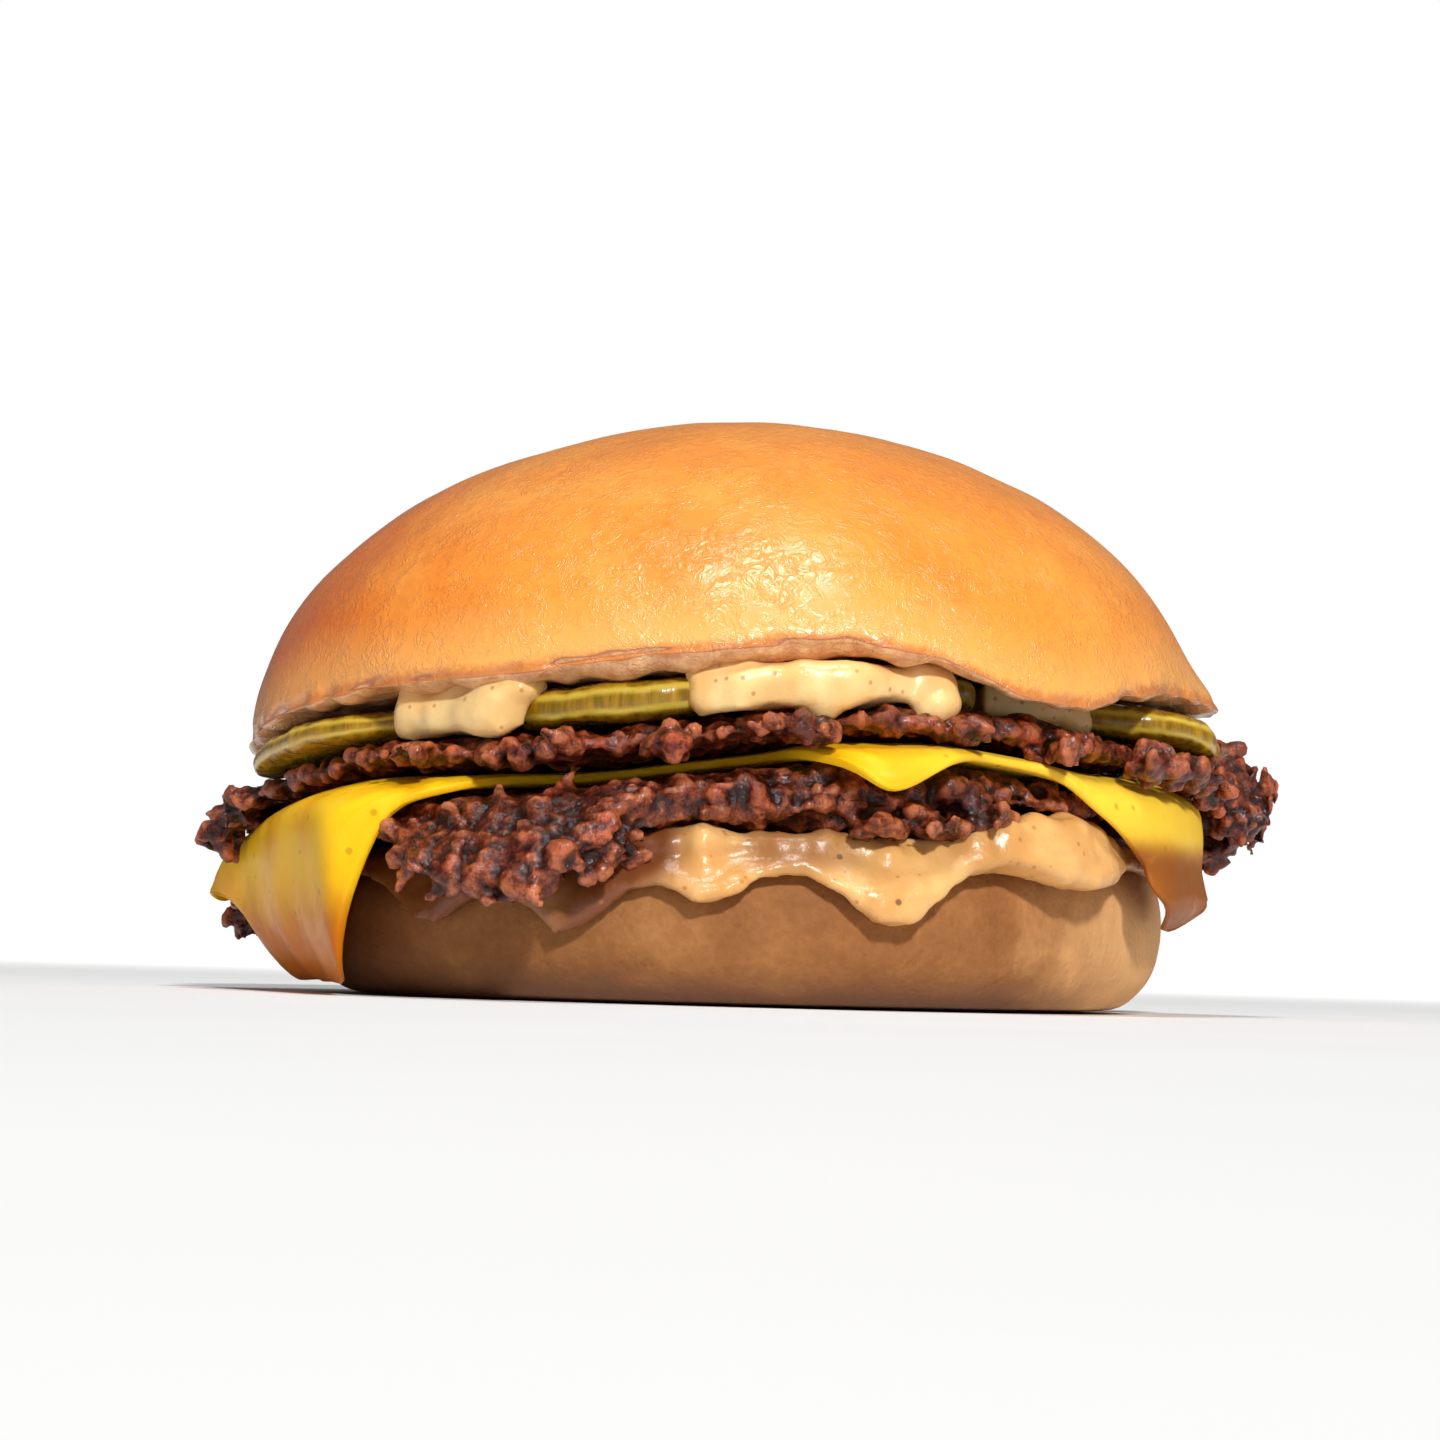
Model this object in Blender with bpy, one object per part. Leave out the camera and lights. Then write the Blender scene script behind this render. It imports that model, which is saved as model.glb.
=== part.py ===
"""A double cheeseburger, built up from the plate as a cook stacks it.

Every layer starts as a flat turned disc. A place function then lays the disc on
the layer below, bends it over the edge and gives it its uneven outline.

Sizes are millimetres and angles are degrees. Angle 0 is the burger's right side,
-90 the front, 180 the left and 90 the back. A lump is (middle angle, width, height)
and a ripple is (height, waves round the burger, seed).
"""

import math

import bmesh
import bpy
from mathutils import Vector, noise

MM = 0.001
GAP = 0.3  # space left between two pieces that rest on each other
STEPS = 90  # facets round every soft layer, the same for all so that they nest
NOISE_GAIN = 1.8  # brings the noise to about -1 to 1
CENTRE_X = -2.43  # puts the middle of the whole burger, overhangs included, on the origin
CENTRE_Y = 1.415

# Bottom bun
HEEL_STEPS = 72
HEEL_RADIUS = 48.8
HEEL_FLOOR_FILLET = 7.0
HEEL_TOP_FILLET = 4.5
HEEL_TOP = 15.4
HEEL_CLIMB = 0.04  # the top rises this much for each millimetre to the right
HEEL_LUMPS = ((-160, 34, -1.2), (-60, 20, 0.4), (75, 25, -0.7), (130, 16, 0.5))
HEEL_LUMPS_FROM = 4.0  # height by which the lumps have grown to full size
HEEL_TUCKS = ((-165, 38, 4.8),)  # pulled in at the floor, under the hanging cheese
HEEL_TUCK_HEIGHT = 11.0
HEEL_RIPPLE = (0.25, 9, 3.1)

# Sauce on the bottom bun: how far it runs over the shoulder, its drips and its blobs
LOWER_SAUCE_GAP = 0.45
LOWER_SAUCE_DEPTH = 0.9
LOWER_SAUCE_REACH = 49.2
LOWER_SAUCE_DRIPS = (
    (-125, 6, 5.0),
    (-107, 6, 5.8),
    (-90.5, 6, 3.4),
    (-70, 7.5, 6.4),
    (-46, 12, 2.8),
    (-14, 9, 1.5),
    (20, 9, 3.0),
    (47, 7, 5.5),
    (80, 9, 1.6),
    (103, 7, 4.8),
    (138, 10, 1.5),
    (-160, 20, -2.4),
)
LOWER_SAUCE_RIPPLE = (0.5, 14, 8.4)
LOWER_SAUCE_SWELLS = ((-47, 12, 4.8),)  # thick already on the shoulder
LOWER_SAUCE_SWELL_SPAN = 3.5
LOWER_SAUCE_HEM = 0.4  # extra depth of the hem, which starts this far down the side
LOWER_SAUCE_HEM_START = 4.0
LOWER_SAUCE_HEM_SPAN = 4.0
LOWER_SAUCE_BLOBS = ((-91, 7, 1.0), (-70, 7, 1.6), (-47, 12, -1.6), (47, 8, 1.4), (103, 8, 1.2))

# Both patties lie flat as far as the shoulder and bend down from there
PATTY_FLAT = 45.2
PATTY_BEND_RADIUS = 6.0
PATTY_RIM_SPAN = 3.0  # width of the zone where the rim's own shape sets in
PATTY_EDGE_SPAN = 3.5
PATTY_EDGE_THINNED = 0.5  # shares of its depth that a patty loses: at its very edge,
PATTY_SKIRT_THINNED = 0.25  # in a long hanging skirt,
PATTY_CRAG = 0.4  # and in the deepest crag
PATTY_CRAG_SCALE = 0.3  # crags to a millimetre
PATTY_SKIRT_START = 3.0  # these zones start so far beyond the flat and reach full effect in a span
PATTY_SKIRT_SPAN = 12.0
PATTY_UNDERCUT_START = -5.0
PATTY_UNDERCUT_SPAN = 8.0
PATTY_CLUMP_START = 10.0
PATTY_CLUMP_SPAN = 5.0

LOWER_PATTY_REACH = 49.4
LOWER_PATTY_LOBES = (
    (-118, 11, 8.8),
    (-106, 5, 6.5),
    (-70, 9, -0.8),
    (-47, 11, -1.0),
    (-162, 24, -3.6),
    (165, 6.5, 9.4),
    (-20, 14, -0.8),
    (28, 12, 3.0),
    (64, 16, -0.4),
    (92, 10, 3.0),
)
LOWER_PATTY_RIPPLE = (0.6, 34, 1.3)
LOWER_PATTY_DROOP = 8.0
LOWER_PATTY_DROOPS = ((-113, 14, 46), (165, 12, 46), (3, 16, 14), (28, 12, 22), (92, 12, 24))
LOWER_PATTY_RIM = ((-109, 13, 1.4), (-93, 7, 1.3))  # swells up where no cheese lies on the rim
LOWER_PATTY_UNDERCUT = ((-47, 13, 4.2),)  # room for the thick sauce under the rim

# Underside of the upper patty, which sets how thick the lower one is
UPPER_PATTY_BASE = 24.6
UPPER_PATTY_LUMPS = ((-66, 24, 2.5), (180, 42, -4.8), (-114, 18, -1.2), (2, 30, 1.2), (70, 35, 0.9))
UPPER_PATTY_DEPTH = 3.3
UPPER_PATTY_DEPTH_LUMPS = ((-45, 16, 1.0), (-108, 14, 0.3), (180, 25, -0.3), (60, 20, 0.4))
UPPER_PATTY_REACH = 50.0
UPPER_PATTY_LOBES = (
    (-6, 7, 9.0),
    (7, 7, 13.0),
    (26, 8, 4.0),
    (-150, 20, -1.6),
    (-178, 10, 5.6),
    (60, 12, 2.0),
    (112, 10, 3.4),
    (150, 12, 1.5),
)
UPPER_PATTY_RIPPLE = (0.9, 34, 7.9)
UPPER_PATTY_DROOP = 5.0
UPPER_PATTY_CLUMPS = ((4, 11, 5.0),)  # the end of the flare is this much thicker
UPPER_PATTY_DROOPS = ((-6, 8, 38), (10, 12, 9), (178, 12, 36), (112, 14, 6), (60, 12, 4))

# Cheese: each corner is (angle, widths of its two sides, reach at the tip)
CHEESE_DEPTH = 1.4
CHEESE_EDGE_THINNED = 0.4
CHEESE_EDGE_SPAN = 2.0
CHEESE_REACH = 40.0
CHEESE_CORNERS = (
    (-73.5, 10, 38, 57.0),
    (-19, 52, 14, 67.0),
    (-133, 30, 20, 59.5),
    (165, 22, 90, 61.5),
    (63, 26, 22, 63.0),
    (121, 16, 24, 57.5),
)
CHEESE_DRAPE = (-175.0, -133.0, 5.0, 90.0)  # from, to, softness, reach
CHEESE_RIPPLE = (0.35, 16, 4.4)
CHEESE_RIM_MARGIN = 1.0  # clear of the lower patty's rim before it turns down
CHEESE_RIM_RADIUS = 2.6
CHEESE_LEAST_DROP = 0.5
CHEESE_TUCK_HEIGHT = 12.0  # from here it curves in towards the floor
CHEESE_TUCK_CENTRE = 38.4  # radius at which that curve would run level

# Gherkin slices: name, angle, distance of the middle, half length, half width, depth
PICKLES = (
    ("pickle_left", -157.0, 39.6, 17.6, 11.8, 3.0),
    ("pickle_front", -103.6, 37.4, 11.8, 11.4, 4.0),
    ("pickle_inner", -60.5, 31.6, 10.5, 10.0, 3.6),
    ("pickle_right", -10.0, 42.6, 14.2, 12.4, 3.6),
    ("pickle_back", 88.0, 38.2, 14.5, 11.6, 3.4),
)
PICKLE_STEPS = 24
PICKLE_SQUARENESS = 2.6
PICKLE_GAP = 0.4
PICKLE_EDGE = 0.96  # the faces end here, as a share of the radius, and the soft edge begins
PICKLE_CUT_BELOW = 3.0  # the pocket for a slice goes right through the sauce
PICKLE_CUT_ABOVE = 4.0

# Filling between the upper patty and the top bun
FILLING_DEPTH = 4.75
FILLING_LUMPS = ((180, 40, -0.9), (90, 55, -0.3), (-90, 22, 0.1))
FILLING_PINCH = ((-50, 14, 4.5),)  # the crust curls down to the patty here
PINCH_START = 43.6
PINCH_SPAN = 4.5
UPPER_SAUCE_TOP_GAP = 0.5  # wider than GAP, as the top bun has fewer facets
UPPER_SAUCE_REACH = 44.6
UPPER_SAUCE_LOBES = (
    (-129, 8, 3.4),
    (-117, 7, 4.8),
    (-89, 6.5, 4.4),
    (-74, 11, 5.4),
    (-50, 11, -5.0),
    (45, 14, 3.0),
    (120, 16, 3.2),
    (160, 12, 1.5),
)
UPPER_SAUCE_RIPPLE = (0.4, 12, 6.6)
UPPER_SAUCE_BULGE = 1.0
UPPER_SAUCE_BULGE_FROM = 0.92  # share of the reach

# Top bun: part of a tall ellipsoid that leans to the right
CROWN_STEPS = 60
CROWN_RADIUS = 52.2
CROWN_DEPTH_RATIO = 0.985
CROWN_EQUATOR = 28.0
CROWN_TOP = 63.6
CROWN_SHIFT = 0.7
CROWN_LEAN = 0.085
CROWN_LEAN_FROM = 36.0
CROWN_LIP_RISE = 0.6  # from the cut face up to the lip of the crust
CROWN_LIP_LUMPS = ((-92, 26, 1.7), (-50, 14, -0.5), (110, 30, 0.9))
CROWN_LIP_RIPPLE = (0.15, 11, 9.5)
CROWN_FLARES = ((-2, 13, 3.0), (-50, 12, 0.6), (178, 20, 0.4))
CROWN_FLARE_CLIMB = 0.07  # the flare dies away over this share of the climb to the top
CROWN_FLARE_SAG = 0.15
CROWN_FLARE_CUT = 0.4  # share of the flare that the cut face doesn't follow
CROWN_CUT_INSET = 1.9
CROWN_CUT_RINGS = (0.0, 0.865, 0.93, 1.0)
CROWN_DOME_RINGS = (1.0, 0.96, 0.87, 0.76, 0.64, 0.52, 0.39, 0.26, 0.13, 0.0)

STRAIGHT_ON = (99.0, 0.0)  # a path segment longer than any layer


def wrapped(angle):
    return (angle + 180) % 360 - 180


def lumps(angle, shapes):
    """Sum of smooth bumps, each (middle angle, width, height)."""
    return sum(
        height * math.exp(-((wrapped(angle - middle) / width) ** 2)) for middle, width, height in shapes
    )


def ripple(angle, shape):
    """Noise that closes on itself round the burger."""
    height, waves, seed = shape
    turn = math.radians(angle)
    ring = waves / math.tau
    return height * NOISE_GAIN * noise.noise(Vector((ring * math.cos(turn), ring * math.sin(turn), seed)))


def smoothstep(value):
    value = min(1.0, max(0.0, value))
    return value * value * (3 - 2 * value)


def settled(r):
    """A layer's lumps grow from nothing at the axis to full height where the patties bend."""
    return min(1.0, r / PATTY_FLAT)


def walk(distance, segments):
    """Follows (length, turn) segments out from the axis. Returns r, the fall and the slope."""
    r, fall, slope = 0.0, 0.0, 0.0
    for length, turn in segments:
        part = min(distance, length)
        if part <= 0:
            break
        turned = math.radians(turn) * part / length
        if turned:
            radius = part / turned
            r += radius * (math.sin(slope + turned) - math.sin(slope))
            fall -= radius * (math.cos(slope + turned) - math.cos(slope))
        else:
            r += part * math.cos(slope)
            fall += part * math.sin(slope)
        slope += turned
        distance -= part
    return r, fall, slope


def bend(radius, turn):
    """A path segment that turns by so many degrees."""
    return radius * math.radians(turn), turn


def fall_beyond(r, radius, turn):
    """How far a patty's face has fallen at this radius."""
    out = max(0.0, r - PATTY_FLAT)
    turn = math.radians(turn)
    if out < radius * math.sin(turn):
        return radius - math.sqrt(radius**2 - out**2)
    return radius * (1 - math.cos(turn)) + (out - radius * math.sin(turn)) * math.tan(turn)


def stations(stops, reach):
    """Distances of the rings: at the stops, or crowded near the edge where the reach is short."""
    crowd = 0.01
    count = len(stops)
    rings = [min(stop, reach * (1 - crowd * (count - index))) for index, stop in enumerate(stops)]
    return [0.0] + rings + [reach]


def point(x, y, z):
    return Vector((x + CENTRE_X, y + CENTRE_Y, z)) * MM


def polar(angle, r, z):
    turn = math.radians(angle)
    return point(r * math.cos(turn), r * math.sin(turn), z)


def heel_swell(angle):
    return lumps(angle, HEEL_LUMPS) + ripple(angle, HEEL_RIPPLE)


def heel_top(angle, r):
    return HEEL_TOP + HEEL_CLIMB * r * math.cos(math.radians(angle))


def lower_patty_base(angle, r):
    return heel_top(angle, r) + LOWER_SAUCE_GAP + LOWER_SAUCE_DEPTH + GAP


def upper_patty_base(angle, r):
    return UPPER_PATTY_BASE + lumps(angle, UPPER_PATTY_LUMPS) * settled(r)


def cheese_base(angle, r):
    return upper_patty_base(angle, r) - GAP - CHEESE_DEPTH


def lower_patty_depth(angle, r):
    return cheese_base(angle, r) - GAP - lower_patty_base(angle, r)


def upper_patty_depth(angle, r):
    return UPPER_PATTY_DEPTH + lumps(angle, UPPER_PATTY_DEPTH_LUMPS) * settled(r)


def lower_droop(angle):
    return LOWER_PATTY_DROOP + lumps(angle, LOWER_PATTY_DROOPS)


def upper_droop(angle):
    return UPPER_PATTY_DROOP + lumps(angle, UPPER_PATTY_DROOPS)


def lower_patty_reach(angle):
    return LOWER_PATTY_REACH + lumps(angle, LOWER_PATTY_LOBES) + ripple(angle, LOWER_PATTY_RIPPLE)


def upper_patty_reach(angle):
    return UPPER_PATTY_REACH + lumps(angle, UPPER_PATTY_LOBES) + ripple(angle, UPPER_PATTY_RIPPLE)


def upper_bend_radius(angle):
    """The upper patty bends round the same centre as the lower one."""
    layers = lower_patty_depth(angle, PATTY_FLAT) + CHEESE_DEPTH + 2 * GAP
    return PATTY_BEND_RADIUS + layers


def deck(angle, r):
    """Top of the upper patty, which carries the gherkins and the sauce."""
    depth = upper_patty_depth(angle, r)
    radius = upper_bend_radius(angle) + depth
    return upper_patty_base(angle, r) + depth - fall_beyond(r, radius, upper_droop(angle))


def crown_base(angle, r):
    filling = FILLING_DEPTH + lumps(angle, FILLING_LUMPS) * settled(r)
    pinch = lumps(angle, FILLING_PINCH) * smoothstep((r - PINCH_START) / PINCH_SPAN)
    return deck(angle, r) + filling - pinch


def food(name, colour, roughness):
    """A plain food material."""
    material = bpy.data.materials.new(name)
    material.use_nodes = True
    surface = material.node_tree.nodes["Principled BSDF"]
    surface.inputs["Base Color"].default_value = (*colour, 1.0)
    surface.inputs["Roughness"].default_value = roughness
    surface.inputs["Metallic"].default_value = 0.0
    return material


def turned(name, outline, steps, place, material):
    """Spins an outline of (u, v) points about the axis, then moves each to place(angle, u, v)."""
    shape = bmesh.new()
    corners = [shape.verts.new((u, 0.0, v)) for u, v in outline]
    edges = [shape.edges.new(pair) for pair in zip(corners, corners[1:])]
    bmesh.ops.spin(
        shape,
        geom=corners + edges,
        cent=(0, 0, 0),
        axis=(0, 0, 1),
        angle=math.tau,
        steps=steps,
        use_merge=True,
    )
    bmesh.ops.remove_doubles(shape, verts=shape.verts, dist=1e-5)
    bmesh.ops.recalc_face_normals(shape, faces=shape.faces)
    for vert in shape.verts:
        x, y, v = vert.co
        vert.co = place(math.degrees(math.atan2(y, x)), math.hypot(x, y), v)
    mesh = bpy.data.meshes.new(name)
    shape.to_mesh(mesh)
    shape.free()
    mesh.shade_smooth()
    mesh.materials.append(material)
    solid = bpy.data.objects.new(name, mesh)
    bpy.context.scene.collection.objects.link(solid)
    return solid


def disc_outline(rings, levels=()):
    """Outline of a disc of depth 1: its rings out from the axis, and the levels on its edge."""
    base = [(ring, 0.0) for ring in rings]
    edge = [(rings[-1], level) for level in levels]
    top = [(ring, 1.0) for ring in reversed(rings)]
    return base + edge + top


def make_heel():
    """Bottom bun: a flat base, a round lower edge and a rounded shoulder."""
    contact = HEEL_RADIUS - HEEL_FLOOR_FILLET
    shoulder = HEEL_RADIUS - HEEL_TOP_FILLET
    outline = [(0.0, 0.0), (contact, 0.0)]
    for turn in (22.5, 45, 67.5, 90):
        turn = math.radians(turn)
        outline.append(
            (contact + HEEL_FLOOR_FILLET * math.sin(turn), HEEL_FLOOR_FILLET * (1 - math.cos(turn)))
        )
    for turn in (0, 45, 90):
        turn = math.radians(turn)
        outline.append(
            (shoulder + HEEL_TOP_FILLET * math.cos(turn), HEEL_TOP - HEEL_TOP_FILLET * (1 - math.sin(turn)))
        )
    outline.append((0.0, HEEL_TOP))

    def place(angle, r, z):
        swell = heel_swell(angle) * smoothstep(z / HEEL_LUMPS_FROM)
        tuck = lumps(angle, HEEL_TUCKS) * (1 - smoothstep(z / HEEL_TUCK_HEIGHT))
        r += (swell - tuck) * r / HEEL_RADIUS
        climb = heel_top(angle, r) - HEEL_TOP
        return polar(angle, r, z + climb * smoothstep(z / HEEL_TOP))

    return turned("heel", outline, HEEL_STEPS, place, food("bun_side", (0.52, 0.28, 0.12), 0.8))


def make_lower_sauce():
    """Sauce that lies on the bottom bun, rolls over its shoulder and drips down its side."""
    roll = bend(HEEL_TOP_FILLET + LOWER_SAUCE_GAP, 90)

    def place(angle, ring, level):
        flat = HEEL_RADIUS - HEEL_TOP_FILLET + heel_swell(angle)
        reach = LOWER_SAUCE_REACH + lumps(angle, LOWER_SAUCE_DRIPS) + ripple(angle, LOWER_SAUCE_RIPPLE)
        stops = (flat, flat + roll[0] / 2, flat + roll[0])
        distance = stations(stops, reach)[round(ring)]
        r, fall, slope = walk(distance, ((flat, 0), roll, STRAIGHT_ON))
        over = distance - flat
        swell = smoothstep(over / LOWER_SAUCE_SWELL_SPAN) * lumps(angle, LOWER_SAUCE_SWELLS)
        hem = smoothstep((over - LOWER_SAUCE_HEM_START) / LOWER_SAUCE_HEM_SPAN)
        hem *= LOWER_SAUCE_HEM + lumps(angle, LOWER_SAUCE_BLOBS)
        lift = level * (LOWER_SAUCE_DEPTH + swell + hem)
        z = heel_top(angle, min(r, flat)) + LOWER_SAUCE_GAP - fall + lift * math.cos(slope)
        return polar(angle, r + lift * math.sin(slope), z)

    outline = disc_outline(range(5), (0.5,))
    return turned("lower_sauce", outline, STEPS, place, food("sauce", (0.78, 0.46, 0.2), 0.3))


def patty_place(base_at, depth_at, reach_at, droop_at, radius_at, swells, undercuts, clumps, seed):
    """Lays a smashed patty: flat inside, ragged at the edge, drooping and thinner where it overhangs."""

    def place(angle, ring, level):
        roll = bend(radius_at(angle), droop_at(angle))
        reach = reach_at(angle)
        rolled = PATTY_FLAT + roll[0]
        stops = (PATTY_FLAT, PATTY_FLAT + roll[0] / 2, rolled, (rolled + reach) / 2)
        distance = stations(stops, reach)[round(ring)]
        r, fall, slope = walk(distance, ((PATTY_FLAT, 0), roll, STRAIGHT_ON))
        inner = min(r, PATTY_FLAT)
        depth = depth_at(angle, inner)
        over = distance - PATTY_FLAT
        rim = smoothstep(over / PATTY_RIM_SPAN)
        edge = max(0.0, 1 - (reach - distance) / PATTY_EDGE_SPAN)
        skirt = smoothstep((over - PATTY_SKIRT_START) / PATTY_SKIRT_SPAN)
        # Crags only eat into the patty, so that it stays clear of its neighbours
        turn = math.radians(angle)
        spot = Vector((math.cos(turn), math.sin(turn), 0)) * distance * PATTY_CRAG_SCALE
        spot.z = seed + 2 * level
        crag = 0.5 + 0.5 * noise.noise(spot)
        kept = 1 - PATTY_SKIRT_THINNED * skirt
        kept *= 1 - PATTY_EDGE_THINNED * edge**2
        kept *= 1 - PATTY_CRAG * rim * crag
        lift = level * depth + (0.5 - level) * depth * (1 - kept)
        if level > 0.5:
            lift += rim * lumps(angle, swells)
        else:
            rise = smoothstep((over - PATTY_UNDERCUT_START) / PATTY_UNDERCUT_SPAN)
            lift += (1 - 2 * level) * rise * kept * lumps(angle, undercuts)
        clump = smoothstep((over - PATTY_CLUMP_START) / PATTY_CLUMP_SPAN)
        lift += (level - 0.5) * clump * lumps(angle, clumps)
        z = base_at(angle, inner) - fall + lift * math.cos(slope)
        return polar(angle, r + lift * math.sin(slope), z)

    return place


def make_lower_patty():
    """Thick lower patty, with a crisp skirt hanging at the front left and the far left."""
    place = patty_place(
        lower_patty_base,
        lower_patty_depth,
        lower_patty_reach,
        lower_droop,
        lambda angle: PATTY_BEND_RADIUS,
        LOWER_PATTY_RIM,
        LOWER_PATTY_UNDERCUT,
        (),
        LOWER_PATTY_RIPPLE[-1],
    )
    outline = disc_outline(range(6), (0.5,))
    return turned("lower_patty", outline, STEPS, place, food("patty_lower", (0.15, 0.05, 0.03), 0.4))


def make_upper_patty():
    """Thin upper patty, with a ragged flare on the right."""
    place = patty_place(
        upper_patty_base,
        upper_patty_depth,
        upper_patty_reach,
        upper_droop,
        upper_bend_radius,
        (),
        (),
        UPPER_PATTY_CLUMPS,
        UPPER_PATTY_RIPPLE[-1],
    )
    outline = disc_outline(range(6), (0.5,))
    return turned("upper_patty", outline, STEPS, place, food("patty_upper", (0.13, 0.04, 0.02), 0.4))


def cheese_reach(angle):
    """The melted slice's outline: straight edges between its corners, and one wide drape."""
    reach = CHEESE_REACH
    for middle, before, after, tip in CHEESE_CORNERS:
        away = wrapped(angle - middle)
        share = 1 - abs(away) / (before if away < 0 else after)
        reach = max(reach, CHEESE_REACH + (tip - CHEESE_REACH) * share)
    start, end, soft, drape = CHEESE_DRAPE
    inside = min(wrapped(angle - start), wrapped(end - angle))
    reach += (drape - reach) * smoothstep(0.5 + inside / soft / 2)
    return reach + ripple(angle, CHEESE_RIPPLE)


def make_cheese():
    """One melted slice between the patties, draped over the lower patty and down to the floor."""
    facet = 360 / STEPS

    def place(angle, ring, level):
        droop = lower_droop(angle)
        roll = bend(PATTY_BEND_RADIUS + lower_patty_depth(angle, PATTY_FLAT) + GAP, droop)
        under = PATTY_BEND_RADIUS * math.radians(droop)
        patty = max(lower_patty_reach(angle + side * facet) for side in (-1, 0, 1))
        slant = max(0.0, patty - PATTY_FLAT - under) + CHEESE_RIM_MARGIN
        over = bend(CHEESE_RIM_RADIUS, 90 - droop)
        path = [(PATTY_FLAT, 0), roll, (slant, 0), over]
        over_end = PATTY_FLAT + roll[0] + slant + over[0]
        side, fallen, _ = walk(over_end, path)
        start = cheese_base(angle, PATTY_FLAT)
        drop = max(CHEESE_LEAST_DROP, start - fallen - CHEESE_TUCK_HEIGHT)
        tuck_radius = side - CHEESE_TUCK_CENTRE
        path += [(drop, 0), bend(tuck_radius, 90)]
        # The slice ends where its outer face meets the floor
        meets = math.asin(min(1.0, (CHEESE_TUCK_HEIGHT - GAP) / (tuck_radius + CHEESE_DEPTH)))
        tuck_start = over_end + drop
        tuck_end = tuck_start + tuck_radius * meets
        reach = min(cheese_reach(angle), tuck_end)
        stops = (
            PATTY_FLAT,
            PATTY_FLAT + roll[0] / 2,
            PATTY_FLAT + roll[0],
            over_end - over[0] / 2,
            over_end,
            (tuck_start + tuck_end) / 2,
        )
        distance = stations(stops, reach)[round(ring)]
        r, fall, slope = walk(distance, path)
        edge = smoothstep(1 - (reach - distance) / CHEESE_EDGE_SPAN)
        depth = CHEESE_DEPTH * (1 - CHEESE_EDGE_THINNED * edge)
        lift = (CHEESE_DEPTH - depth) / 2 + level * depth
        z = cheese_base(angle, min(r, PATTY_FLAT)) - fall + lift * math.cos(slope)
        return polar(angle, r + lift * math.sin(slope), z)

    outline = disc_outline(range(8))
    return turned("cheese", outline, STEPS, place, food("cheese", (0.95, 0.48, 0.04), 0.35))


def pickle_place(angle, distance, length, width, spread, low, high):
    """Lays an oval slice on the upper patty. spread widens it, low and high are its two faces."""
    turn = math.radians(angle)
    outward = Vector((math.cos(turn), math.sin(turn), 0))
    sideways = Vector((-math.sin(turn), math.cos(turn), 0))
    power = 2 / PICKLE_SQUARENESS

    def place(own, s, level):
        along, across = math.cos(math.radians(own)), math.sin(math.radians(own))
        out = math.copysign(abs(along) ** power, along) * (width + spread) * s
        side = math.copysign(abs(across) ** power, across) * (length + spread) * s
        spot = outward * (distance + out) + sideways * side
        at = math.degrees(math.atan2(spot.y, spot.x))
        rise = low + level * (high - low)
        return point(spot.x, spot.y, deck(at, spot.length) + rise)

    return place


def make_pickles(material):
    """Gherkin slices with softened edges. Returns a slightly larger cutter for each."""
    cutters = []
    face = (0.0, 0.6, PICKLE_EDGE)
    outline = [(s, 0.0) for s in face] + [(1.0, 0.5)] + [(s, 1.0) for s in reversed(face)]
    for name, angle, distance, length, width, depth in PICKLES:
        lie = (angle, distance, length, width)
        place = pickle_place(*lie, 0.0, PICKLE_GAP, PICKLE_GAP + depth)
        turned(name, outline, PICKLE_STEPS, place, material)
        place = pickle_place(*lie, GAP, -PICKLE_CUT_BELOW, depth + PICKLE_CUT_ABOVE)
        cutter = turned(name + "_cutter", disc_outline((0.0, 1.0)), PICKLE_STEPS, place, material)
        cutter.hide_render = True
        cutter.display_type = "WIRE"
        cutters.append(cutter)
    return cutters


def make_upper_sauce(cutters):
    """Sauce that fills the space round the gherkins and swells out between them."""

    def place(angle, s, level):
        reach = UPPER_SAUCE_REACH + lumps(angle, UPPER_SAUCE_LOBES) + ripple(angle, UPPER_SAUCE_RIPPLE)
        bulge = UPPER_SAUCE_BULGE * (1 - (2 * level - 1) ** 2) if s == 1 else 0.0
        r = s * reach + bulge
        low = deck(angle, r) + GAP
        high = crown_base(angle, r) - UPPER_SAUCE_TOP_GAP
        return polar(angle, r, low + level * (high - low))

    outline = disc_outline((0.0, UPPER_SAUCE_BULGE_FROM, 1.0), (0.25, 0.5, 0.75))
    sauce = turned("upper_sauce", outline, STEPS, place, food("sauce_upper", (0.85, 0.56, 0.24), 0.3))
    for cutter in cutters:
        cut = sauce.modifiers.new("round_" + cutter.name, "BOOLEAN")
        cut.operation = "DIFFERENCE"
        cut.object = cutter
    return sauce


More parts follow.
